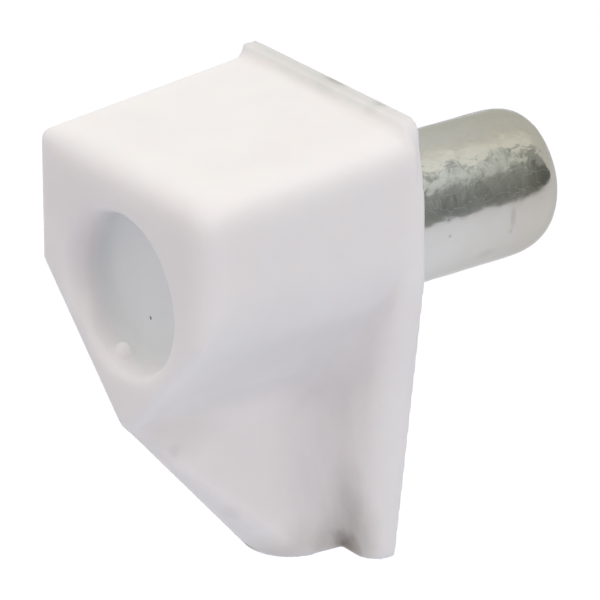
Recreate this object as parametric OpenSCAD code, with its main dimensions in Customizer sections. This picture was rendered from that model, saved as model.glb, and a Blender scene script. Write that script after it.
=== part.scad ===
// Plug-in shelf support: a moulded block with a back plate and a rib, on a plain steel pin.
// X is across the support, Y runs into the wall and Z is up. The origin is on the pin's axis,
// in the plane where the back plate meets the wall.

/* [Pin] */
// Diameter of the steel pin
pin_d = 5; // [4:0.5:6]
// Length of the pin that stands out of the back plate
pin_out = 8; // [5:0.1:12]
// Length of the pin held inside the plastic
pin_in = 6; // [3:0.1:6.2]
// Radius of the rounding round the pin's outer end
pin_round = 1.2; // [0.2:0.1:1.5]
// Distance that the pin's full diameter runs into the back plate
pin_seat = 0.15; // [0.15:0.05:0.2]
// Radius of the small rounding at the step down to the pin's root
pin_step_round = 0.1; // [0.05:0.01:0.1]
// Step in radius from the pin's full diameter down to its root inside the plastic
root_step = 0.3; // [0.2:0.05:0.6]
// Radius of the small rounding round the root's inner end
root_round = 0.3; // [0.1:0.1:0.8]
// Distance from the wall plane to the retaining groove round the root
groove_back = 1.5; // [0.8:0.1:1.8]
// Width of the retaining groove
groove_w = 1; // [0.4:0.1:1.2]
// Depth of the retaining groove
groove_depth = 0.3; // [0.1:0.05:0.5]

/* [Block] */
// Distance from the wall plane to the front face
block_depth = 8.65; // [7.8:0.05:12]
// Width of the block at the front face
front_w = 9.3; // [8.5:0.1:12]
// Width of the block at the back
back_w = 9.7; // [8.5:0.1:12]
// Height of the top above the pin's axis, at the front face
top_front = 4.3; // [3.6:0.1:6]
// Height of the top above the pin's axis, at the foot of the lip
top_back = 4.8; // [3.6:0.1:6]
// Depth below the pin's axis at which the upright sides end
side_low = 0.2; // [0:0.1:1]
// Angle of the two slopes under the block, from level
slope_angle = 46.5; // [43:0.5:50]
// Radius of the block's outer edges
edge_r = 0.45; // [0.2:0.05:0.6]

/* [Front recess] */
// Diameter of the round recess in the front face
recess_d = 5.75; // [4:0.05:6.5]
// Depth of the recess
recess_depth = 1.15; // [0.5:0.05:1.4]
// Radius of the hollow corner round the recess's floor
recess_r = 0.3; // [0.1:0.05:0.5]

/* [Back plate] */
// Thickness of the back plate
plate_t = 1.15; // [0.8:0.05:1.6]
// Width of the back plate at its widest
plate_w = 9.6; // [8.5:0.1:12]
// Height above the pin's axis at which the plate's sides start to curve in
shoulder_low = 2.4; // [1:0.1:3]
// Radius of that curve
shoulder_r = 5; // [4:0.5:12]
// Width of the back plate at its foot
foot_w = 6.4; // [5:0.1:9]
// Distance of the plate's foot below the pin's axis
foot_low = 10.67; // [9:0.01:14]
// Radius of the plate's corners and front edges
plate_r = 0.35; // [0.2:0.05:0.5]

/* [Lip] */
// Width of the lip at its crest
lip_w = 8.8; // [8:0.05:11]
// Width of the lip at its foot
lip_foot_w = 9.2; // [8:0.05:11]
// Height of the lip above the back of the top
lip_h = 0.57; // [0.3:0.01:1]
// Thickness of the lip
lip_t = 0.52; // [0.4:0.02:1]
// Radius of the lip's edges
lip_r = 0.2; // [0.05:0.05:0.2]

/* [Rib] */
// Width of the rib where it meets the back plate
rib_root_w = 3.5; // [2.6:0.1:4.5]
// Radius of the rib's nose at the foot
rib_nose_r = 1.5; // [0.8:0.1:1.7]
// Distance from the wall plane to the rib's nose, at the foot
rib_foot_depth = 3.55; // [2.8:0.05:6]
// Height of the rib's foot above the plate's foot
rib_foot_up = 0.07; // [0:0.01:0.5]

/* [Hidden] */

$fn = 96;
round_fn = 24;
eps = 0.01;
root_r = pin_d / 2 - root_step;
rib_low = foot_low - rib_foot_up;

// Height of the centre of the rounding at the bottom of the block, where its two slopes meet, for
// a block of width w
function slope_low(w) = -side_low - (w / 2 - edge_r) * tan(slope_angle);

// Centres of the roundings at the five corners of the block's outline, at one depth
function block_corners(w, top, y) = [
    for (side = [-1, 1])
        for (z = [top - edge_r, -side_low])
            [side * (w / 2 - edge_r), y, z],
    [0, y, slope_low(w)],
];

// Centres of the roundings down one side of the back plate, from the lip to the foot
shoulder_steps = 3;
shoulder_angle = asin((top_back - shoulder_low) / shoulder_r);
plate_side = [
    for (i = [shoulder_steps : -1 : 0])
        let (a = shoulder_angle * i / shoulder_steps)
            [
                plate_w / 2 - plate_r - shoulder_r * (1 - cos(a)),
                shoulder_low + shoulder_r * sin(a) - (i == shoulder_steps ? plate_r : 0),
            ],
    [plate_w / 2 - plate_r, -side_low],
    [foot_w / 2 - plate_r, -foot_low + plate_r],
];

// Solid with the same rounding round every corner it is given
module rounded_solid(corners, r) {
    hull()
        for (p = corners)
            translate(p) sphere(r = r, $fn = round_fn);
}

// Turns what is drawn round Z to lie round the pin's axis, with +Z into the wall
module along_pin() {
    rotate([-90, 0, 0]) children();
}

module block() {
    rounded_solid(
        concat(
            block_corners(front_w, top_front, -block_depth + edge_r),
            block_corners(back_w, top_back, -lip_t)
        ),
        edge_r
    );
}

module back_plate() {
    hull()
        for (side = [-1, 1])
            for (p = plate_side)
                translate([side * p[0], 0, p[1]]) {
                    translate([0, -plate_t + plate_r, 0]) sphere(r = plate_r, $fn = round_fn);
                    rotate([90, 0, 0]) cylinder(r = plate_r, h = eps, $fn = round_fn);
                }
}

module lip() {
    hull()
        for (side = [-1, 1])
            for (y = [-lip_t + lip_r, -lip_r]) {
                translate([side * (lip_w / 2 - lip_r), y, top_back + lip_h - lip_r])
                    sphere(r = lip_r, $fn = round_fn);
                translate([side * (lip_foot_w / 2 - lip_r), y, top_back - edge_r])
                    cylinder(r = lip_r, h = edge_r, $fn = round_fn);
            }
}

// Rib under the block: a thin upper edge along the bottom of the block that spreads down to a
// round nose, and an upright root that spreads onto the back plate
module rib() {
    nose_y = -rib_foot_depth + rib_nose_r;
    hull() {
        for (p = [[-block_depth + edge_r, slope_low(front_w)], [nose_y, slope_low(back_w)]])
            translate([0, p[0], p[1]]) sphere(r = edge_r, $fn = round_fn);
        translate([0, nose_y, -rib_low]) cylinder(r = rib_nose_r, h = eps, $fn = 2 * round_fn);
    }
    hull() {
        translate([0, nose_y, -rib_low])
            cylinder(r = rib_nose_r, h = rib_low - side_low, $fn = 2 * round_fn);
        translate([-rib_root_w / 2, -plate_t, -rib_low])
            cube([rib_root_w, plate_t / 2, rib_low - side_low]);
    }
}

// Half section of a shape turned round Y, from y0 to y1, with a rounding at each end
module turned_outline(r, y0, y1, r0, r1) {
    translate([0, y0]) square([r - r0, y1 - y0 - r1]);
    translate([0, y0 + r0]) square([r, y1 - y0 - r0 - r1]);
    translate([0, y1 - r1]) square([r - r1, r1]);
    translate([r - r0, y0 + r0]) circle(r0);
    translate([r - r1, y1 - r1]) circle(r1);
}

module front_recess() {
    along_pin()
        rotate_extrude()
            turned_outline(
                recess_d / 2,
                -block_depth - 2 * recess_r,
                -block_depth + recess_depth,
                recess_r,
                recess_r
            );
}

// Pin at its full diameter, with a slimmer root inside the plastic that runs on into it
module pin_shape() {
    along_pin()
        rotate_extrude() {
            turned_outline(pin_d / 2, -pin_seat, pin_out, pin_step_round, pin_round);
            difference() {
                turned_outline(root_r, -pin_in, pin_out / 2, root_round, root_round);
                translate([root_r - groove_depth, -groove_back - groove_w])
                    square([root_r, groove_w]);
            }
        }
}

module support_body() {
    color("white")
        difference() {
            union() {
                block();
                back_plate();
                lip();
                rib();
            }
            front_recess();
            pin_shape();
        }
}

module steel_pin() {
    color("silver") pin_shape();
}

support_body();
steel_pin();
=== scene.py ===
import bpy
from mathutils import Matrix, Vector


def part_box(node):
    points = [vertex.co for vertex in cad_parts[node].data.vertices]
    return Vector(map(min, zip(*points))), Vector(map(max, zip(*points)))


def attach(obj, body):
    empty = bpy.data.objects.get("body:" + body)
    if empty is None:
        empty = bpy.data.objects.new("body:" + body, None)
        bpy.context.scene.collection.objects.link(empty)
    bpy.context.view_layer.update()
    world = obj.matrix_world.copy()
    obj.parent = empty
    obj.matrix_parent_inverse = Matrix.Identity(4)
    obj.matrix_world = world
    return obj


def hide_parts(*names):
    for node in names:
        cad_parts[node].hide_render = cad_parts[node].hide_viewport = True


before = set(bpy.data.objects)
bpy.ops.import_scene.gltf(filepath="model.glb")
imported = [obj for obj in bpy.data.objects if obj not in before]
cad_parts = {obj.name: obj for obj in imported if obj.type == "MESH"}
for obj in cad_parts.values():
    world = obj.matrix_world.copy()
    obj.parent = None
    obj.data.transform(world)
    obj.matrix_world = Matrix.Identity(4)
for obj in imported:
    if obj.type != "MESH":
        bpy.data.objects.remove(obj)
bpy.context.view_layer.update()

import math

import bpy
import numpy as np
from mathutils import Matrix, Vector

mm = 0.001
bodyLow, bodyHigh = (np.array(corner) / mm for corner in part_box("support_body"))
pinLow, pinHigh = (np.array(corner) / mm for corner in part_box("steel_pin"))
print("frame loaded, body", bodyLow.round(2), bodyHigh.round(2))


def hexColour(code):
    # sRGB hex to the linear colour that Blender's sockets hold
    parts = [int(code[i : i + 2], 16) / 255 for i in (0, 2, 4)]
    linear = [c / 12.92 if c <= 0.04045 else ((c + 0.055) / 1.055) ** 2.4 for c in parts]
    return (*linear, 1.0)


def addNode(tree, kind, settings=None, links=None):
    # settings go to properties by name, or to input sockets by name or number
    node = tree.nodes.new(kind)
    for key, value in (settings or {}).items():
        if isinstance(key, str) and hasattr(node, key):
            setattr(node, key, value)
        else:
            node.inputs[key].default_value = value
    for key, source in (links or {}).items():
        socket = source if isinstance(source, bpy.types.NodeSocket) else source.outputs[0]
        tree.links.new(socket, node.inputs[key])
    return node


def newMaterial(name):
    material = bpy.data.materials.new(name)
    material.use_nodes = True
    material.node_tree.nodes.clear()
    return material, material.node_tree


def meshObject(name, points, faces, material):
    mesh = bpy.data.meshes.new(name)
    mesh.from_pydata([tuple(p) for p in points], [], [tuple(f) for f in faces])
    mesh.materials.append(material)
    mesh.polygons.foreach_set("use_smooth", [True] * len(mesh.polygons))
    mesh.update()
    made = bpy.data.objects.new(name, mesh)
    bpy.context.scene.collection.objects.link(made)
    return made


# Sizes in mm. A size that ends in "Soft" is the width over which two surfaces run together. One that
# ends in "Span" is the stretch over which one value gives way to another.
bodySize = {
    "cell": 0.11,  # grid that the surface is drawn from
    "middleSpan": (-0.5, 0.5),  # x, from left-hand sizes to right-hand ones
    # block
    "blockDepth": -bodyLow[1],
    "blockBack": -0.3,  # y at which it ends, inside the plate
    "halfFront": 4.66,
    "halfBack": bodyHigh[0],
    "topFront": 4.45,
    "topBack": 5.0,
    "sideLow": 0.16,  # how far below the pin's axis the upright sides end
    "sideLowRight": 0.05,
    "slopeAngle": 46.5,  # of the underside, from level
    "edgeRadius": 0.45,
    "leftSoft": 0.5,
    "rightSoft": 1.0,  # the right-hand edges are rounder
    "leftTopSoft": 0.9,
    "rightTopSoft": 1.1,
    "cornerTopSoft": 0.6,  # front and top edge, at its left end
    "cornerSpan": (-4.6, -2.5),  # x
    "frontTopSoft": 1.1,
    "tipSoft": 0.5,
    # back plate
    "plateThick": 1.15,
    "plateFootThick": 1.0,
    "plateThinFrom": 6.5,  # below the pin's axis
    "plateHalf": 4.846,
    "plateFootHalf": 3.31,
    "plateTopSoft": 0.3,
    "plateSoft": 1.0,
    "plateFootSoft": 0.08,
    "plateCornerSoft": 0.15,
    "shoulderLow": 1.9,  # height at which the sides start to curve in
    "shoulderRadius": 10.0,
    "footLow": -bodyLow[2],
    # lip
    "lipHigh": bodyHigh[2],
    "lipInto": 0.6,  # how far it runs down into the block
    "lipHalf": 4.4,
    "lipAcross": -0.02,  # x of its middle
    "lipFootHalf": 4.5,
    "lipThick": 0.52,
    "lipSoft": 0.085,
    "lipRightSoft": 0.4,
    "lipRightSpan": (0.0, 1.0),  # x
    "lipRootSoft": 0.5,
    "lipRootEndSoft": 0.22,
    "lipEndSpan": (3.9, 4.4),  # distance from the middle
    "nickX": -4.1,  # x to which a nick in the crest runs in from its left end
    "nickY": -0.2,
    "nickRadius": 0.06,
    "nickUp": 0.024,  # its centre above the crest
    "nickSoft": 0.08,
    # rib
    "ribHigh": -1.5,  # z at which it ends, inside the block
    "ribTopHalf": 0.15,
    "ribFootHalf": 1.61,
    "ribFootY": -1.9,
    "ribFootUp": 0.01,
    "ribDrop": 0.08,  # how far the nose starts below the block's lowest point
    "ribFlare": 0.06,
    "ribEdgeSoft": 0.06,
    # hollow corners between these parts
    "joinSoft": 0.1,
    "filletPlate": 1.3,
    "filletPlateSpan": (0.5, 3.0),  # below the pin's axis
    "rootReach": 1.95,  # half width that the rib's root takes up on the plate
    "rootLeastSoft": 0.06,
    "filletRib": 0.85,
    "filletRibSpan": (-8.5, -7.0),  # y
    "filletRibLeast": 0.04,
    "footFadeSpan": (0.8, 0.98),  # share of the way down the rib
    # recess
    "recessRadius": 2.74,
    "recessLow": 0.07,
    "recessDepth": 1.22,
    "recessTaper": 0.12,  # how much narrower the hollow is at its floor
    "recessRimSoft": 0.4,
    "recessRimWorn": 0.7,  # extra softness of the rim at its left
    "wornSpan": (1.2, 2.7),  # distance to the left of the middle
    "wornLean": 0.1,
    "wornUpSpan": (-2.0, -0.8),  # z
    "recessFloorSoft": 0.6,
    "nubPlace": (-0.88, -7.98, -2.5),
    "nubRadius": 0.29,
    "nubSoft": 0.1,
    # side that lies on the wall
    "rootRadius": 2.2,
    "wallEdgeSoft": 0.07,
}


def softMax(a, b, width):
    blend = np.maximum(width - np.abs(a - b), 0) / width
    return np.maximum(a, b) + blend * blend * width / 4


def softMin(a, b, width):
    return -softMax(-a, -b, width)


def easeBetween(value, low, high):
    t = np.clip((value - low) / (high - low), 0, 1)
    return t * t * (3 - 2 * t)


def eased(value, span, first, last):
    # first below the span, last above it, and a smooth run between
    return first + easeBetween(value, *span) * (last - first)


def blockField(x, y, z):
    s = bodySize
    deep = y + s["blockDepth"]
    half = s["halfFront"] + (s["halfBack"] - s["halfFront"]) * deep / s["blockDepth"]
    tilt = math.radians(s["slopeAngle"])

    def slope(sign, low):
        out = sign * x - half + s["edgeRadius"]
        return out * math.sin(tilt) - (z + low) * math.cos(tilt) - s["edgeRadius"]

    side = np.abs(x) - half
    sideSoft = eased(x, s["middleSpan"], s["leftSoft"], s["rightSoft"])
    front = softMax(side, -deep, sideSoft)
    under = softMax(slope(1, s["sideLowRight"]), slope(-1, s["sideLow"]), s["tipSoft"])
    rise = (s["topBack"] - s["topFront"]) / (s["blockDepth"] - s["lipThick"] - s["edgeRadius"])
    top = z - s["topFront"] - rise * (deep - s["edgeRadius"])
    edges = [
        softMax(side, under, sideSoft),
        softMax(under, -deep, s["leftSoft"]),
        softMax(front, top, eased(x, s["cornerSpan"], s["cornerTopSoft"], s["frontTopSoft"])),
        softMax(side, top, eased(x, s["middleSpan"], s["leftTopSoft"], s["rightTopSoft"])),
        y - s["blockBack"],
    ]
    return np.maximum.reduce(edges)


def plateField(x, y, z):
    s = bodySize
    across = np.abs(x)
    arcX = s["plateHalf"] - s["shoulderRadius"]
    shoulder = np.where(
        z > s["shoulderLow"],
        np.hypot(across - arcX, z - s["shoulderLow"]) - s["shoulderRadius"],
        across - s["plateHalf"],
    )
    run = s["plateHalf"] - s["plateFootHalf"]
    drop = s["footLow"] - s["sideLow"]
    taper = ((across - s["plateHalf"]) * drop - (z + s["sideLow"]) * run) / math.hypot(run, drop)
    outline = softMax(np.maximum(shoulder, taper), z - s["topBack"], s["plateTopSoft"])
    thinSpan = (s["plateThinFrom"], s["footLow"])
    front = -y - eased(-z, thinSpan, s["plateThick"], s["plateFootThick"])
    foot = softMax(-z - s["footLow"], outline, s["plateCornerSoft"])
    return np.maximum(softMax(outline, front, s["plateSoft"]), softMax(foot, front, s["plateFootSoft"]))


def lipField(x, y, z):
    s = bodySize
    high = z - s["lipHigh"]
    lean = (s["lipFootHalf"] - s["lipHalf"]) / (s["lipHigh"] - s["topBack"])
    side = np.abs(x - s["lipAcross"]) - s["lipFootHalf"] + lean * np.maximum(z - s["topBack"], 0)
    lip = softMax(side, high, eased(x, s["lipRightSpan"], s["lipSoft"], s["lipRightSoft"]))
    lip = softMax(lip, -y - s["lipThick"], s["lipSoft"])
    lip = np.maximum(lip, s["topBack"] - s["lipInto"] - z)
    nick = np.hypot(y - s["nickY"], high - s["nickUp"]) - s["nickRadius"]
    return softMax(lip, -np.maximum(nick, x - s["nickX"]), s["nickSoft"])


def ribLevel(z):
    # how far down the rib a height is, from 0 to 1, and the rib's half width there
    s = bodySize
    slopeDrop = (s["halfFront"] - s["edgeRadius"]) * math.tan(math.radians(s["slopeAngle"]))
    high = -s["sideLow"] - slopeDrop - s["ribDrop"]
    low = s["ribFootUp"] - s["footLow"]
    down = np.clip((high - z) / (high - low), 0, 1)
    return down, s["ribTopHalf"] + down * (s["ribFootHalf"] - s["ribTopHalf"])


def ribField(x, y, z):
    # level cuts are round-nosed strips, thin under the block and broad at the foot
    s = bodySize
    down, half = ribLevel(z)
    nose = down * (s["ribFootY"] - s["ribFootHalf"]) - (1 - down) * s["blockDepth"]
    rib = np.hypot(x, np.minimum(y - nose - half, 0)) - half
    rib = rib - down * s["ribFlare"] * np.maximum(y - s["ribFootY"], 0)
    rib = softMax(rib, s["ribFootUp"] - s["footLow"] - z, s["ribEdgeSoft"])
    return np.maximum(rib, z - s["ribHigh"])


def recessField(x, y, z):
    # round hollow in the front face, and how soft its rim is
    s = bodySize
    deep = y + s["blockDepth"]
    wall = np.hypot(x, z + s["recessLow"]) - s["recessRadius"] + s["recessTaper"] * deep / s["recessDepth"]
    worn = easeBetween(s["wornLean"] * z - x, *s["wornSpan"]) * easeBetween(z, *s["wornUpSpan"])
    rimSoft = s["recessRimSoft"] + worn * s["recessRimWorn"]
    return softMax(wall, deep - s["recessDepth"], s["recessFloorSoft"]), rimSoft


def bodyField(x, y, z):
    # below zero inside the moulding, above zero outside, in mm
    s = bodySize
    plate = plateField(x, y, z)
    rib = ribField(x, y, z)
    plateJoin = eased(-z, s["filletPlateSpan"], s["joinSoft"], s["filletPlate"])
    joined = softMin(blockField(x, y, z), plate, plateJoin)
    # the hollow corners beside the rib run out to sharp ones at its foot and at its front end
    down, ribHalf = ribLevel(z)
    footFade = 1 - easeBetween(down, *s["footFadeSpan"])
    rootJoin = np.maximum((s["rootReach"] - ribHalf) * footFade, s["rootLeastSoft"])
    ribJoin = s["filletRibLeast"] + easeBetween(y, *s["filletRibSpan"]) * footFade * s["filletRib"]
    joined = np.minimum(softMin(joined, rib, ribJoin), softMin(plate, rib, rootJoin))
    lipJoin = eased(np.abs(x), s["lipEndSpan"], s["lipRootSoft"], s["lipRootEndSoft"])
    joined = softMin(joined, lipField(x, y, z), lipJoin)

    recess, rimSoft = recessField(x, y, z)
    joined = softMax(joined, -recess, rimSoft)
    nubX, nubY, nubZ = s["nubPlace"]  # small nub near the recess's lower left
    nub = np.sqrt((x - nubX) ** 2 + (y - nubY) ** 2 + (z - nubZ) ** 2) - s["nubRadius"]
    joined = softMin(joined, nub, s["nubSoft"])

    # hole for the pin's root, and the flat that lies on the wall
    hole = np.maximum(np.hypot(x, z) - s["rootRadius"], pinLow[1] - y)
    joined = np.maximum(joined, -hole)
    return softMax(joined, y, s["wallEdgeSoft"])


def surfaceMesh(field, low, high, cell):
    # one point in each grid cell that the surface crosses, joined by four-sided faces
    axes = [np.arange(low[i] - 1.5 * cell, high[i] + 2.5 * cell, cell) for i in range(3)]
    value = field(*np.meshgrid(*axes, indexing="ij"))
    inside = value < 0
    count = np.zeros([n - 1 for n in inside.shape], int)
    corners = [(i, j, k) for i in (0, 1) for j in (0, 1) for k in (0, 1)]
    size = count.shape

    def part(grid, i, j, k):
        return grid[i : i + size[0], j : j + size[1], k : k + size[2]]

    for corner in corners:
        count += part(inside, *corner)
    crossed = (count > 0) & (count < 8)
    number = np.full(size, -1)
    number[crossed] = np.arange(crossed.sum())
    cells = np.argwhere(crossed)
    total = np.zeros((len(cells), 3))
    hits = np.zeros(len(cells))
    for a in corners:
        for axis in range(3):
            if a[axis]:
                continue
            b = list(a)
            b[axis] = 1
            va = part(value, *a)[crossed]
            vb = part(value, *b)[crossed]
            cut = (va < 0) != (vb < 0)
            t = np.where(cut, va / np.where(cut, va - vb, 1), 0)
            place = np.tile(np.array(a, float), (len(cells), 1))
            place[:, axis] = t
            total[cut] += place[cut]
            hits += cut
    points = cells + total / hits[:, None]
    points = np.stack([axes[i][0] + points[:, i] * cell for i in range(3)], 1)

    faces = []
    for axis in range(3):
        u, v = (axis + 1) % 3, (axis + 2) % 3
        first = [slice(None)] * 3
        second = [slice(None)] * 3
        first[axis], second[axis] = slice(None, -1), slice(1, None)
        flips = np.argwhere(inside[tuple(first)] != inside[tuple(second)])
        flips = flips[(flips[:, u] > 0) & (flips[:, v] > 0)]
        outward = inside[tuple(flips.T)]
        ring = []
        for du, dv in ((-1, -1), (0, -1), (0, 0), (-1, 0)):
            near = flips.copy()
            near[:, u] += du
            near[:, v] += dv
            ring.append(number[tuple(near.T)])
        ring = np.stack(ring, 1)
        ring[~outward] = ring[~outward][:, ::-1]
        faces.append(ring)
    faces = np.concatenate(faces)

    # slide each point on to the surface itself
    passes, step, mostMove, leastSteep = 5, 0.01, 0.3 * cell, 0.2
    for _ in range(passes):
        x, y, z = points.T
        here = field(x, y, z)
        slopeVector = np.stack(
            [
                field(x + step, y, z) - field(x - step, y, z),
                field(x, y + step, z) - field(x, y - step, z),
                field(x, y, z + step) - field(x, y, z - step),
            ],
            1,
        ) / (2 * step)
        steep = np.maximum((slopeVector**2).sum(1), leastSteep)
        move = -(here / steep)[:, None] * slopeVector
        points += np.clip(move, -mostMove, mostMove)
    return points, faces, slopeVector / np.sqrt(steep)[:, None]


def hollowness(field, points, normals, reaches, soft):
    # share of the half-space over each point that other walls fill: 0 on open faces
    helper = np.where(np.abs(normals[:, :1]) < 0.6, [[1.0, 0.0, 0.0]], [[0.0, 1.0, 0.0]])
    side = np.cross(normals, helper)
    side /= np.linalg.norm(side, axis=1)[:, None]
    other = np.cross(normals, side)
    ways, goldenAngle = 20, 2.39996
    filled = np.zeros(len(points))
    for i in range(ways):
        lift = math.sqrt((i + 0.5) / ways)
        out, turn = math.sqrt(1 - lift * lift), goldenAngle * i
        way = normals * lift + side * (out * math.cos(turn)) + other * (out * math.sin(turn))
        closed = np.zeros(len(points))
        for reach in reaches:
            away = points + way * reach
            closed = np.maximum(closed, np.clip(0.5 - field(*away.T) / soft, 0, 1))
        filled += closed
    return filled / ways


def addAttribute(made, name, values):
    layer = made.data.attributes.new(name, "FLOAT", "POINT")
    layer.data.foreach_set("value", np.asarray(values, np.float32))


# Marks on the moulding, by colour: centre and half sizes in mm, how dark, and how ragged the edge is. Some
# are painted shade, as noted.
bodyMarks = {
    "58756A": {
        # darker olive-grey over the top of the lip
        "lipOliveGrey": ((-0.8, -0.2, 5.55), (10.0, 0.95, 0.8), 0.32, 0.05),
    },
    "6A6B58": {
        "lipLong": ((0.05, -0.06, 5.42), (0.95, 0.25, 0.14), 0.55, 0.3),
        "lipLongHaze": ((-0.1, -0.4, 5.2), (1.1, 0.5, 0.4), 0.06, 0.4),
        "lipShort": ((2.6, -0.08, 5.38), (0.45, 0.3, 0.12), 0.32, 0.4),
        "lipShortHaze": ((2.7, -0.45, 5.25), (0.5, 0.35, 0.36), 0.08, 0.4),
    },
    "776E60": {
        "recessSpeck": ((-0.08, -7.5, -1.2), (0.075, 0.14, 0.1), 3.0, 0.1),
        "ribSmudge": ((0.5, -6.95, -5.9), (0.35, 0.3, 0.28), 0.06, 0.4),
        "noseSmudge": ((0.75, -4.9, -8.6), (0.4, 0.45, 0.5), 0.07, 0.4),
        # painted shade in the crease where the block's underside meets the rib
        "keelShade": ((0.5, -7.0, -5.4), (0.9, 2.7, 1.3), 0.11, 0.1),
        "noseFoot": ((-0.25, -3.6, -10.5), (0.75, 0.6, 0.6), 0.7, 0.3),
        # painted shade, darker towards the foot and deepest in the notch between rib and plate
        "notchShade": ((2.05, -1.1, -10.9), (0.85, 0.7, 1.3), 0.52, 0.2),
        "notchShadeHaze": ((2.4, -1.25, -11.2), (1.7, 1.2, 4.8), 0.36, 0.1),
        "footShade": ((0.7, -2.5, -11.4), (2.9, 2.4, 2.5), 0.36, 0.12),
    },
}
bodyTint = {
    "white": "F4F2F1",
    "cloud": "F8F6F4",
    "cloudScale": 350.0,  # per metre: clouds of about 3 mm
    "cloudSpan": (0.3, 0.7),
    # painted shade, laid into hollow corners where shade falls
    "shade": "8E899E",
    # painted cool shade inside the recess
    "sunk": "B8EEF4",
    "hollowReach": (0.5, 1.2, 2.4),  # mm
    "hollowSoft": 0.25,
    "hollowShare": 0.31,
    "sunkShare": 0.13,
    "markMost": 0.95,
    "grainScale": 2600.0,  # per metre: grain of about 0.4 mm
    "grainStrength": 0.15,
    "grainDepth": 0.02,  # mm
    "roughness": 0.45,
    "lightIn": 0.9,  # share of the light that goes in and comes out again
    "lightInReach": 0.8,  # mm
    "lightInColour": (1.0, 0.92, 0.88),
}
# Where the painted shade lies: in hollow corners, round the recess's left rim and in the recess, and where
# it is left out. Distances are in mm, and "out" is measured from the recess's axis.
bodyPaintedShade = {
    "cleanTopSpan": (3.8, 4.4),  # z: none shows on top, beside the lip
    "cleanNubSpan": (-0.25, 0.0),
    "leftSpan": (0.2, 0.9),  # from 0 above the axis to 1 straight to its left
    "leastOut": 0.1,
    "rimSpan": (1.9, 2.7),  # out
    "rimEndSpan": (2.9, 3.4),  # out
    "rimDeep": 0.3,  # how far past the recess's floor it may lie
    "rimHighSpan": (0.5, 2.0),  # z
    "rimHighLess": 0.7,  # share of the rim's dust that is gone high up
    "rimShare": 0.42,
    "frontOut": 3.2,
    "frontY": -7.0,
    "frontSpan": (0.0, 1.8),  # x
    "frontLeft": 0.45,  # share of the hollow shade that is left in and round the recess
    "frontRight": 0.15,
    "sunkFrom": 0.5,  # depth at which the recess's painted cool shade starts
    "sunkPast": 0.2,
}
# Edges of the marks on the moulding and of the stains on the pin
markEdge = {
    "wobbleScale": 1800.0,  # per metre: waves of about 0.6 mm
    "core": 0.2,  # share of a mark's size that has its full strength
}


def addMark(tree, place, total, centre, size, strength, ragged):
    # soft spot round a point, with an uneven edge, added to the running total
    shifted = addNode(
        tree,
        "ShaderNodeMapping",
        {
            "vector_type": "TEXTURE",
            "Location": Vector(centre) * mm,
            "Scale": Vector(size) * mm,
        },
        {"Vector": place},
    )
    wobble = addNode(
        tree,
        "ShaderNodeTexNoise",
        {"Scale": markEdge["wobbleScale"], "Detail": 3.0},
        {"Vector": place},
    )
    spread = addNode(
        tree,
        "ShaderNodeMath",
        {"operation": "MULTIPLY_ADD", 1: ragged * 2, 2: -ragged},
        {0: wobble},
    )
    distance = addNode(tree, "ShaderNodeVectorMath", {"operation": "LENGTH"}, {0: shifted})
    uneven = addNode(
        tree, "ShaderNodeMath", {"operation": "ADD"}, {0: distance.outputs["Value"], 1: spread}
    )
    spot = addNode(
        tree,
        "ShaderNodeMapRange",
        {
            "interpolation_type": "SMOOTHSTEP",
            "From Min": 1.0,
            "From Max": markEdge["core"],
            "To Min": 0.0,
            "To Max": strength,
        },
        {"Value": uneven},
    )
    return addNode(tree, "ShaderNodeMath", {"operation": "ADD"}, {0: total, 1: spot})


def mouldedPlastic():
    # White moulded nylon: satin, slightly see-through, so light runs a little way in at the edges.
    # Painted grey shade darkens its hollow corners, the recess, the crease under the block and the foot,
    # and a few darker marks lie on it.
    s = bodyTint
    material, tree = newMaterial("mouldedWhiteNylon")
    place = addNode(tree, "ShaderNodeTexCoord").outputs["Object"]
    cloud = addNode(
        tree,
        "ShaderNodeTexNoise",
        {"Scale": s["cloudScale"], "Detail": 2.0, "Roughness": 0.5},
        {"Vector": place},
    )
    colour = addNode(tree, "ShaderNodeValToRGB", links={"Fac": cloud})
    for mark, at, tint in zip(colour.color_ramp.elements, s["cloudSpan"], (s["white"], s["cloud"])):
        mark.position = at
        mark.color = hexColour(tint)
    layers = []
    for name, share, tint in (("hollow", "hollowShare", "shade"), ("sunk", "sunkShare", "sunk")):
        value = addNode(tree, "ShaderNodeAttribute", {"attribute_name": name}).outputs["Fac"]
        part = addNode(tree, "ShaderNodeMath", {"operation": "MULTIPLY", 1: s[share]}, {0: value})
        layers.append((part, s[tint]))
    # marks and painted shade, added up for each colour
    for tint, marks in bodyMarks.items():
        marksAndShade = addNode(tree, "ShaderNodeValue").outputs[0]
        for mark in marks.values():
            marksAndShade = addMark(tree, place, marksAndShade, *mark)
        marksAndShade = addNode(tree, "ShaderNodeMath", {"operation": "MINIMUM", 1: s["markMost"]}, {0: marksAndShade})
        layers.append((marksAndShade, tint))
    for share, tint in layers:
        colour = addNode(
            tree, "ShaderNodeMix", {"data_type": "RGBA", 7: hexColour(tint)}, {0: share, 6: colour}
        ).outputs[2]
    grain = addNode(
        tree, "ShaderNodeTexNoise", {"Scale": s["grainScale"], "Detail": 3.0}, {"Vector": place}
    )
    bump = addNode(
        tree,
        "ShaderNodeBump",
        {"Strength": s["grainStrength"], "Distance": s["grainDepth"] * mm},
        {"Height": grain},
    )
    shader = addNode(
        tree,
        "ShaderNodeBsdfPrincipled",
        {
            "Roughness": s["roughness"],
            "IOR": 1.5,
            "Subsurface Weight": s["lightIn"],
            "Subsurface Radius": s["lightInColour"],
            "Subsurface Scale": s["lightInReach"] * mm,
        },
        {"Base Color": colour, "Normal": bump},
    )
    addNode(tree, "ShaderNodeOutputMaterial", links={"Surface": shader})
    return material


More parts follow.
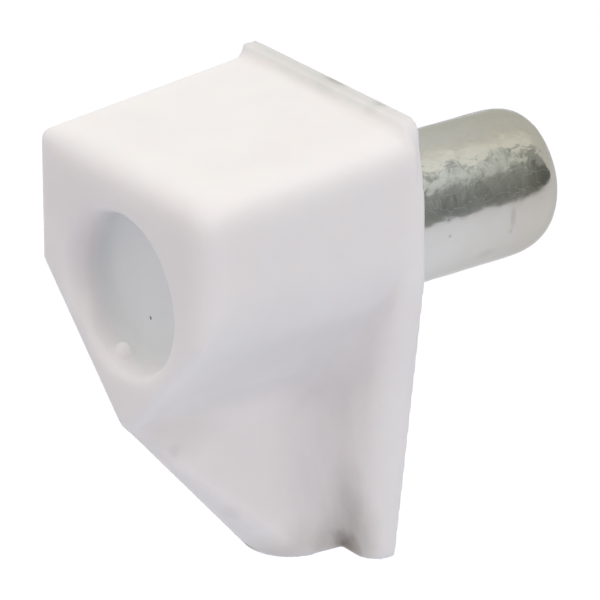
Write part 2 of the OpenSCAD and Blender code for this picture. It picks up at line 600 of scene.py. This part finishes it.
def bodyShade(points, normals):
    # how much painted shade each point has in its hollow corners and round the recess's left rim, and how
    # much painted cool shade lies in the recess
    s, d = bodySize, bodyPaintedShade
    x, y, z = points.T
    hollow = hollowness(bodyField, points, normals, bodyTint["hollowReach"], bodyTint["hollowSoft"])
    nubGap = np.linalg.norm(points - np.array(s["nubPlace"]), axis=1) - s["nubRadius"]
    clean = np.maximum(easeBetween(z, *d["cleanTopSpan"]), easeBetween(-nubGap, *d["cleanNubSpan"]))
    out = np.hypot(x, z + s["recessLow"])
    deep = y + s["blockDepth"]
    left = easeBetween(-x / np.maximum(out, d["leastOut"]), *d["leftSpan"])
    # painted shade round the recess's left rim, darkening the light that its rounding catches
    rim = left * (1 - easeBetween(out, *d["rimEndSpan"])) * easeBetween(out, *d["rimSpan"])
    rim = rim * (deep < s["recessDepth"] + d["rimDeep"])
    rim = rim * (1 - d["rimHighLess"] * easeBetween(z, *d["rimHighSpan"]))
    inFront = (out < d["frontOut"]) & (y < d["frontY"])
    share = np.where(inFront, eased(x, d["frontSpan"], d["frontLeft"], d["frontRight"]), 1.0)
    hollow = hollow * (1 - clean) * share + d["rimShare"] * rim
    # painted cool shade on the recess's walls and floor, stronger deeper in
    inRecess = (out < s["recessRadius"] + d["sunkPast"]) & (y < d["frontY"])
    return hollow, easeBetween(deep, d["sunkFrom"], s["recessDepth"]) * inRecess


def makeBody():
    points, faces, normals = surfaceMesh(bodyField, bodyLow, bodyHigh, bodySize["cell"])
    points = np.clip(points, bodyLow, bodyHigh)
    body = meshObject("moulded_body", points * mm, faces, mouldedPlastic())
    hollow, sunk = bodyShade(points, normals)
    addAttribute(body, "hollow", hollow)
    addAttribute(body, "sunk", sunk)
    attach(body, "root")
    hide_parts("support_body")
    print("body made,", len(points), "points,", len(faces), "faces")


pinSize = {
    "radius": pinHigh[0],
    "endY": pinHigh[1],
    "endRound": 0.98,
    "endLong": 1.8,  # how far before the end the rounding starts
    "endPower": 2.5,
    "endSquarer": 0.45,  # added to that on the side that is less round
    "endUneven": 0.36,  # the tumbled end is rounder on one side
    "endUnevenAt": 124.0,  # degrees round from the top
    "shoulderRound": 0.1,
    "seat": 0.15,
    "rootRadius": 2.2,
    "rootEnd": pinLow[1],
    "rootRound": 0.3,
    "grooveY": -2.0,
    "grooveHalf": 0.5,
    "grooveDepth": 0.3,
    "turns": 192,
    "rootSteps": 6,
    "shoulderSteps": 4,
    "sideSteps": 80,
    "endSteps": 36,
    "tipSteps": 12,
    "dentDepth": 0.045,
    "dentOut": 0.35,  # share of the depth that stands out rather than in
    "dentSize": 1.0,
    "seed": 7.0,
}
pinTint = {
    "bright": "C5C5C3",
    "dull": "BAB7AF",
    "dullSpan": (2.8, 6.6),  # mm along, over which the brighter part gives way to the duller one
    "patchScale": 700.0,  # per metre: patches of about 1.4 mm
    "patchWander": 0.35,  # how far the patches shift the dull part
    "patchSpan": (0.3, 0.7),
    "smooth": 0.13,  # least and most roughness
    "rough": 0.19,
    "stain": "6B665C",
    "stainDeep": 0.15,  # mm added to a stain's reach across the pin
    "stainLeast": 0.08,  # mm, its least half height
    "stainRagged": 0.3,
    "edge": "E0E0DE",  # how much it mirrors at a glancing angle
    "facetScale": 2600.0,  # per metre: facets about 0.4 mm wide
    "facetLong": 0.6,  # less than 1 draws the facets out along the pin
    "facetWarp": 0.6,  # mm
    "warpScale": 1500.0,
    "facetSlope": 0.12,
    "rippleScale": 1300.0,  # per metre: waves of about 0.8 mm
    "rippleDepth": 0.03,  # mm
    "ruggedSpan": (0.45, 1.3),  # mm above the axis, over which the facets come in
    "ruggedLeast": 0.12,
}
# Stains on the plate: degrees round from the top, mm along, half sizes round and along, how dark
pinStains = {
    "drip": ((92.0, 5.5), (0.62, 0.17), 0.22),
    "dripFoot": ((104.0, 5.45), (0.16, 0.12), 0.2),
    "fleck": ((92.0, 2.85), (0.09, 0.1), 0.3),
    "rust": ((78.0, 6.3), (0.16, 0.7), 0.3),
    "haze": ((122.0, 4.7), (0.35, 0.6), 0.12),
}


def arc(centre, radius, start, stop, steps):
    turns = [math.radians(start + (stop - start) * i / steps) for i in range(steps + 1)]
    return [(centre[0] + radius * math.cos(a), centre[1] + radius * math.sin(a)) for a in turns]


def pinOutline(around):
    # radius and place along the axis, from the root's end to the free end, at one angle
    s = pinSize
    lean = math.cos(around - math.radians(s["endUnevenAt"]))
    endRound = s["endRound"] + s["endUneven"] * lean
    endPower = s["endPower"] - s["endSquarer"] * min(lean, 0.0)
    corner = (s["rootRadius"] - s["rootRound"], s["rootEnd"] + s["rootRound"])
    line = arc(corner, s["rootRound"], -90, 0, s["rootSteps"])
    for edge, inner in ((-1, 0), (-1, 1), (1, 1), (1, 0)):
        line.append((s["rootRadius"] - inner * s["grooveDepth"], s["grooveY"] + edge * s["grooveHalf"]))
    line.append((s["rootRadius"], -s["seat"]))
    start = s["shoulderRound"] - s["seat"]
    shoulder = (s["radius"] - s["shoulderRound"], start)
    line += arc(shoulder, s["shoulderRound"], -90, 0, s["shoulderSteps"])
    stop = s["endY"] - s["endLong"]
    steps = s["sideSteps"]
    line += [(s["radius"], start + (stop - start) * i / steps) for i in range(1, steps)]
    flat = s["radius"] - endRound
    power = 2 / endPower
    for radius, far in arc((0, 0), 1, 0, 90, s["endSteps"])[1:]:
        line.append((flat + endRound * max(radius, 0) ** power, stop + s["endLong"] * far**power))
    steps = s["tipSteps"]
    line += [(flat * (1 - i / steps), s["endY"]) for i in range(1, steps)]
    return line


def zincPlate():
    # Bright zinc plate on steel: grey-white metal, dented in small soft facets above and smoother
    # below, a little duller and browner at the free end, with small brown-grey stains
    s = pinTint
    material, tree = newMaterial("brightZincPlate")
    place = addNode(tree, "ShaderNodeTexCoord").outputs["Object"]
    axes = addNode(tree, "ShaderNodeSeparateXYZ", links={"Vector": place})
    patch = addNode(
        tree,
        "ShaderNodeTexNoise",
        {"Scale": s["patchScale"], "Detail": 4.0, "Roughness": 0.6},
        {"Vector": place},
    )
    dullFrom, dullTo = s["dullSpan"]
    along = addNode(
        tree,
        "ShaderNodeMapRange",
        {"From Min": dullFrom * mm, "From Max": dullTo * mm},
        {"Value": axes.outputs["Y"]},
    )
    wander = addNode(
        tree,
        "ShaderNodeMath",
        {"operation": "MULTIPLY_ADD", 1: 2 * s["patchWander"], 2: -s["patchWander"]},
        {0: patch},
    )
    dull = addNode(tree, "ShaderNodeMath", {"operation": "ADD", "use_clamp": True}, {0: along, 1: wander})
    tone = addNode(
        tree,
        "ShaderNodeMix",
        {"data_type": "RGBA", 6: hexColour(s["bright"]), 7: hexColour(s["dull"])},
        {0: dull},
    ).outputs[2]
    stain = addNode(tree, "ShaderNodeValue").outputs[0]
    for (turn, far), (halfRound, halfAlong), strength in pinStains.values():
        a = math.radians(turn)
        centre = (pinSize["radius"] * math.sin(a), far, pinSize["radius"] * math.cos(a))
        across = halfRound * abs(math.cos(a)) + s["stainDeep"]
        size = (across, halfAlong, max(halfRound, s["stainLeast"]))
        stain = addMark(tree, place, stain, centre, size, strength, s["stainRagged"])
    colour = addNode(
        tree, "ShaderNodeMix", {"data_type": "RGBA", 7: hexColour(s["stain"])}, {0: stain, 6: tone}
    ).outputs[2]
    low, high = s["patchSpan"]
    rough = addNode(
        tree,
        "ShaderNodeMapRange",
        {"From Min": low, "From Max": high, "To Min": s["smooth"], "To Max": s["rough"]},
        {"Value": patch},
    )
    # flat facets: one random slope in each cell
    warp = addNode(
        tree, "ShaderNodeTexNoise", {"Scale": s["warpScale"], "Detail": 2.0}, {"Vector": place}
    )
    shift = addNode(
        tree,
        "ShaderNodeVectorMath",
        {"operation": "MULTIPLY_ADD", 1: (s["facetWarp"] * mm,) * 3, 2: (0, 0, 0)},
        {0: warp.outputs["Color"]},
    )
    bent = addNode(tree, "ShaderNodeVectorMath", {"operation": "ADD"}, {0: place, 1: shift})
    long = addNode(tree, "ShaderNodeMapping", {"Scale": (1.0, s["facetLong"], 1.0)}, {"Vector": bent})
    cells = addNode(
        tree, "ShaderNodeTexVoronoi", {"feature": "F1", "Scale": s["facetScale"]}, {"Vector": long}
    )
    tilt = addNode(
        tree,
        "ShaderNodeVectorMath",
        {"operation": "SUBTRACT", 1: (0.5, 0.5, 0.5)},
        {0: cells.outputs["Color"]},
    )
    away = addNode(
        tree, "ShaderNodeVectorMath", {"operation": "SUBTRACT"}, {0: long, 1: cells.outputs["Position"]}
    )
    facet = addNode(tree, "ShaderNodeVectorMath", {"operation": "DOT_PRODUCT"}, {0: tilt, 1: away})
    low, high = s["ruggedSpan"]
    rugged = addNode(
        tree,
        "ShaderNodeMapRange",
        {"From Min": low * mm, "From Max": high * mm, "To Min": s["ruggedLeast"], "To Max": 1.0},
        {"Value": axes.outputs["Z"]},
    )
    bump = addNode(
        tree,
        "ShaderNodeBump",
        {"Distance": s["facetSlope"]},
        {"Strength": rugged, "Height": facet.outputs["Value"]},
    )
    ripple = addNode(
        tree,
        "ShaderNodeTexNoise",
        {"Scale": s["rippleScale"], "Detail": 3.0, "Roughness": 0.5, "Distortion": 0.6},
        {"Vector": place},
    )
    bump = addNode(
        tree,
        "ShaderNodeBump",
        {"Distance": s["rippleDepth"] * mm},
        {"Strength": rugged, "Height": ripple, "Normal": bump},
    )
    shader = addNode(
        tree,
        "ShaderNodeBsdfPrincipled",
        {"Metallic": 1.0, "Specular Tint": hexColour(s["edge"])},
        {"Base Color": colour, "Roughness": rough, "Normal": bump},
    )
    addNode(tree, "ShaderNodeOutputMaterial", links={"Surface": shader})
    return material


def dentTree():
    # moves the plated skin in and out by a soft random amount, so that it reflects unevenly
    tree = bpy.data.node_groups.new("platedSkin", "GeometryNodeTree")
    face = tree.interface
    face.new_socket("Geometry", in_out="INPUT", socket_type="NodeSocketGeometry")
    for name in ("Dent Depth", "Dent Out", "Dent Size", "Seed"):
        face.new_socket(name, in_out="INPUT", socket_type="NodeSocketFloat")
    face.new_socket("Plating", in_out="INPUT", socket_type="NodeSocketMaterial")
    face.new_socket("Geometry", in_out="OUTPUT", socket_type="NodeSocketGeometry")
    given = addNode(tree, "NodeGroupInput")
    scale = addNode(
        tree, "ShaderNodeMath", {"operation": "DIVIDE", 0: 1.0}, {1: given.outputs["Dent Size"]}
    )
    noise = addNode(
        tree,
        "ShaderNodeTexNoise",
        {"noise_dimensions": "4D", "Detail": 3.0, "Roughness": 0.62},
        {"W": given.outputs["Seed"], "Scale": scale},
    )
    level = addNode(
        tree, "ShaderNodeMath", {"operation": "SUBTRACT"}, {0: given.outputs["Dent Out"], 1: noise}
    )
    depth = addNode(
        tree, "ShaderNodeMath", {"operation": "MULTIPLY"}, {0: level, 1: given.outputs["Dent Depth"]}
    )
    normal = addNode(tree, "GeometryNodeInputNormal")
    outward = addNode(tree, "ShaderNodeVectorMath", {"operation": "SCALE"}, {0: normal, "Scale": depth})
    moved = addNode(
        tree,
        "GeometryNodeSetPosition",
        links={"Geometry": given.outputs["Geometry"], "Offset": outward},
    )
    solid = addNode(tree, "GeometryNodeRealizeInstances", links={"Geometry": moved})
    finished = addNode(
        tree, "GeometryNodeSetMaterial", links={"Geometry": solid, "Material": given.outputs["Plating"]}
    )
    addNode(tree, "NodeGroupOutput", links={"Geometry": finished})
    return tree


def setInput(modifier, name, value):
    for item in modifier.node_group.interface.items_tree:
        if item.name == name and item.in_out == "INPUT":
            modifier[item.identifier] = value


def makePin():
    s = pinSize
    turns = s["turns"]
    angles = [2 * math.pi * i / turns for i in range(turns)]
    outlines = [pinOutline(a) for a in angles]
    rings = len(outlines[0])
    points = [(0.0, s["rootEnd"], 0.0)]
    for ring in range(rings):
        for a, line in zip(angles, outlines):
            radius, along = line[ring]
            points.append((radius * math.sin(a), along, radius * math.cos(a)))
    points.append((0.0, s["endY"], 0.0))
    last = len(points) - 1
    faces = []
    for i in range(turns):
        j = (i + 1) % turns
        faces.append((0, 1 + j, 1 + i))
        for ring in range(rings - 1):
            a, b = 1 + ring * turns, 1 + (ring + 1) * turns
            faces.append((a + i, a + j, b + j, b + i))
        tip = 1 + (rings - 1) * turns
        faces.append((last, tip + i, tip + j))
    plating = zincPlate()
    rough = meshObject("pin_turned", np.array(points) * mm, faces, plating)
    skin = rough.modifiers.new("skin", "NODES")
    skin.node_group = dentTree()
    setInput(skin, "Dent Depth", s["dentDepth"] * mm)
    setInput(skin, "Dent Out", s["dentOut"])
    setInput(skin, "Dent Size", s["dentSize"] * mm)
    setInput(skin, "Seed", s["seed"])
    setInput(skin, "Plating", plating)
    bpy.context.view_layer.update()
    evaluated = rough.evaluated_get(bpy.context.evaluated_depsgraph_get())
    mesh = bpy.data.meshes.new_from_object(evaluated)
    bpy.data.objects.remove(rough)
    mesh.name = "zinc_pin"
    for point in mesh.vertices:  # no dent stands out past the pin's full length
        point.co.y = min(point.co.y, s["endY"] * mm)
    pin = bpy.data.objects.new("zinc_pin", mesh)
    bpy.context.scene.collection.objects.link(pin)
    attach(pin, "root")
    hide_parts("steel_pin")
    print("pin made,", len(mesh.polygons), "faces")


stageSize = {
    "floorGap": 60.0,  # mm from the foot down to the floor
    "floorHalf": 1500.0,
    "floorColour": "C6CAD2",
    "floorLift": 0.54,  # what the camera and reflections see on top of the floor's own light
    "world": 0.72,
    "worldColour": "FFF7F7",
    "keySize": 260.0,
    "keyHigh": 330.0,
    "keyWatts": 0.357,
    "keyColour": "F8FFF9",
    "ceilingColour": "F0F1EA",  # what shows in reflections above the horizon
    "fillWatts": 0.067,
    "fillSize": 40.0,
    "fillPlace": (245.0, -20.0, -48.0),
    "fillColour": "EAF6FF",
}


def seenDirectly(tree):
    # 1 for camera, mirror and glass rays, 0 for the light that falls on the object
    path = addNode(tree, "ShaderNodeLightPath")
    both = addNode(
        tree,
        "ShaderNodeMath",
        {"operation": "ADD"},
        {0: path.outputs["Is Camera Ray"], 1: path.outputs["Is Glossy Ray"]},
    )
    return addNode(
        tree,
        "ShaderNodeMath",
        {"operation": "ADD", "use_clamp": True},
        {0: both, 1: path.outputs["Is Transmission Ray"]},
    )


def makeWorld():
    s = stageSize
    world = bpy.data.worlds.new("softRoom")
    bpy.context.scene.world = world
    world.use_nodes = True
    tree = world.node_tree
    tree.nodes.clear()
    path = addNode(tree, "ShaderNodeLightPath")
    lit = addNode(
        tree, "ShaderNodeBackground", {"Color": hexColour(s["worldColour"]), "Strength": s["world"]}
    )
    mirrored = addNode(
        tree, "ShaderNodeBackground", {"Color": hexColour(s["ceilingColour"]), "Strength": 1.0}
    )
    seen = addNode(tree, "ShaderNodeBackground", {"Color": (1, 1, 1, 1), "Strength": 1.0})
    around = addNode(
        tree, "ShaderNodeMixShader", links={0: path.outputs["Is Glossy Ray"], 1: lit, 2: mirrored}
    )
    direct = addNode(
        tree,
        "ShaderNodeMath",
        {"operation": "ADD", "use_clamp": True},
        {0: path.outputs["Is Camera Ray"], 1: path.outputs["Is Transmission Ray"]},
    )
    mixed = addNode(tree, "ShaderNodeMixShader", links={0: direct, 1: around, 2: seen})
    addNode(tree, "ShaderNodeOutputWorld", links={"Surface": mixed})


def makeFloor():
    s = stageSize
    material, tree = newMaterial("paleFloor")
    glow = addNode(
        tree, "ShaderNodeMath", {"operation": "MULTIPLY", 1: s["floorLift"]}, {0: seenDirectly(tree)}
    )
    shader = addNode(
        tree,
        "ShaderNodeBsdfPrincipled",
        {
            "Base Color": hexColour(s["floorColour"]),
            "Roughness": 0.9,
            "Specular IOR Level": 0.0,
            "Emission Color": (1, 1, 1, 1),
        },
        {"Emission Strength": glow},
    )
    addNode(tree, "ShaderNodeOutputMaterial", links={"Surface": shader})
    h = s["floorHalf"] * mm
    z = (bodyLow[2] - s["floorGap"]) * mm
    corners = [(-h, -h, z), (h, -h, z), (h, h, z), (-h, h, z)]
    floor = meshObject("floor", corners, [(0, 1, 2, 3)], material)


def areaLight(name, place, size, watts, colour):
    light = bpy.data.lights.new(name, "AREA")
    light.shape = "RECTANGLE"
    light.size = light.size_y = size * mm
    light.energy = watts
    light.color = hexColour(colour)[:3]
    made = bpy.data.objects.new(name, light)
    made.location = Vector(place) * mm
    made.rotation_euler = (-made.location).to_track_quat("-Z", "Y").to_euler()
    made.visible_glossy = False
    bpy.context.scene.collection.objects.link(made)


def makeLights():
    s = stageSize
    areaLight("topSoftbox", (0, 0, s["keyHigh"]), s["keySize"], s["keyWatts"], s["keyColour"])
    areaLight("rightFill", s["fillPlace"], s["fillSize"], s["fillWatts"], s["fillColour"])


# Cards that show only in reflections: corners in mm, colour, and brightness by place along one axis.
# Past "fadeFrom" a card darkens toward the back of the room. With a "fadeLean" that starts later
# higher up. "blotch" is how uneven the card is.
cards = {
    "sideCard": {
        "low": (100.0, 10.0, -10.0),
        "high": (100.0, 560.0, 330.0),
        "colour": "F6FBF4",
        "axis": "Z",
        "steps": (
            (-5.0, 0.4),
            (20.0, 0.36),
            (62.0, 0.44),
            (84.0, 0.5),
            (98.0, 0.92),
            (188.0, 0.98),
            (300.0, 1.1),
        ),
        "fadeLean": 0.45,
        "fadeFrom": 54.0,
        "fadeTo": 104.0,
        "fadeLeft": 0.5,
        "blotch": 0.35,
        "blotchScale": 30.0,  # per metre: blotches of about 33 mm
    },
    "topCard": {
        "low": (-150.0, 60.0, 330.0),
        "high": (100.0, 560.0, 330.0),
        "colour": "FEFDF2",
        "axis": "X",
        "steps": ((-150.0, 0.86), (-70.0, 0.93), (-20.0, 1.05), (40.0, 1.12)),
        "fadeLean": 0.0,
        "fadeFrom": 300.0,
        "fadeTo": 500.0,
        "fadeLeft": 0.9,
        "blotch": 0.0,
        "blotchScale": 30.0,
    },
}


def makeCard(name, s):
    material, tree = newMaterial(name)
    centre = addNode(tree, "ShaderNodeTexCoord").outputs["Object"]
    place = addNode(tree, "ShaderNodeSeparateXYZ", links={"Vector": centre})
    first, last = s["steps"][0][0], s["steps"][-1][0]
    level = addNode(
        tree,
        "ShaderNodeMapRange",
        {"From Min": first * mm, "From Max": last * mm},
        {"Value": place.outputs[s["axis"]]},
    )
    ramp = addNode(tree, "ShaderNodeValToRGB", links={"Fac": level})
    marks = ramp.color_ramp.elements
    while len(marks) < len(s["steps"]):
        marks.new(0.5)
    for mark, (at, glow) in zip(marks, s["steps"]):
        mark.position = (at - first) / (last - first)
        mark.color = (glow / 2, glow / 2, glow / 2, 1)  # halved, because a ramp stops at 1
    lean = addNode(
        tree,
        "ShaderNodeMath",
        {"operation": "MULTIPLY_ADD", 1: -s["fadeLean"]},
        {0: place.outputs["Z"], 2: place.outputs["Y"]},
    )
    fade = addNode(
        tree,
        "ShaderNodeMapRange",
        {
            "From Min": s["fadeFrom"] * mm,
            "From Max": s["fadeTo"] * mm,
            "To Min": 2.0,
            "To Max": 2 * s["fadeLeft"],
        },
        {"Value": lean},
    )
    noise = addNode(
        tree, "ShaderNodeTexNoise", {"Scale": s["blotchScale"], "Detail": 2.0}, {"Vector": centre}
    )
    blotch = addNode(
        tree,
        "ShaderNodeMath",
        {"operation": "MULTIPLY_ADD", 1: 2 * s["blotch"], 2: 1 - s["blotch"]},
        {0: noise},
    )
    uneven = addNode(tree, "ShaderNodeMath", {"operation": "MULTIPLY"}, {0: fade, 1: blotch})
    glow = addNode(tree, "ShaderNodeMath", {"operation": "MULTIPLY"}, {0: ramp, 1: uneven})
    light = addNode(tree, "ShaderNodeEmission", {"Color": hexColour(s["colour"])}, {"Strength": glow})
    addNode(tree, "ShaderNodeOutputMaterial", links={"Surface": light})
    (x0, y0, z0), (x1, y1, z1) = ([c * mm for c in s[corner]] for corner in ("low", "high"))
    corners = [(x0, y0, z0), (x0, y1, z0), (x1, y1, z1), (x1, y0, z1)]
    card = meshObject(name, corners, [(0, 1, 2, 3)], material)
    card.visible_camera = False
    card.visible_diffuse = False
    card.visible_shadow = False
    card.visible_transmission = False


viewSize = {
    "turn": 53.139,  # degrees round from straight in front, towards the right
    "lift": 23.185,  # degrees above level
    "roll": -0.18,
    "away": 205.48,  # mm from the pin's seat to the camera
    "lens": 373.96,
    "aim": (0.02, -1.48, -2.11),  # mm
    "sensor": 36,  # mm
    "near": 0.01,  # metres, the nearest and the farthest that is drawn
    "far": 10,
}


def makeCamera():
    s = viewSize
    turn, lift = math.radians(s["turn"]), math.radians(s["lift"])
    toward = Vector((math.sin(turn) * math.cos(lift), -math.cos(turn) * math.cos(lift), math.sin(lift)))
    lens = bpy.data.cameras.new("camera")
    lens.lens = s["lens"]
    lens.sensor_width = s["sensor"]
    lens.clip_start = s["near"]
    lens.clip_end = s["far"]
    camera = bpy.data.objects.new("camera", lens)
    camera.location = toward * s["away"] * mm
    look = (Vector(s["aim"]) * mm - camera.location).to_track_quat("-Z", "Y")
    roll = Matrix.Rotation(math.radians(s["roll"]), 3, "Z")
    camera.rotation_euler = (look.to_matrix() @ roll).to_euler()
    bpy.context.scene.collection.objects.link(camera)
    bpy.context.scene.camera = camera


makeBody()
makePin()
makeWorld()
makeFloor()
makeLights()
for cardName, card in cards.items():
    makeCard(cardName, card)
print("room and lights made,", len(cards), "cards")
makeCamera()
print("camera placed")
bpy.context.scene.view_settings.view_transform = "Standard"

print("scene ready")
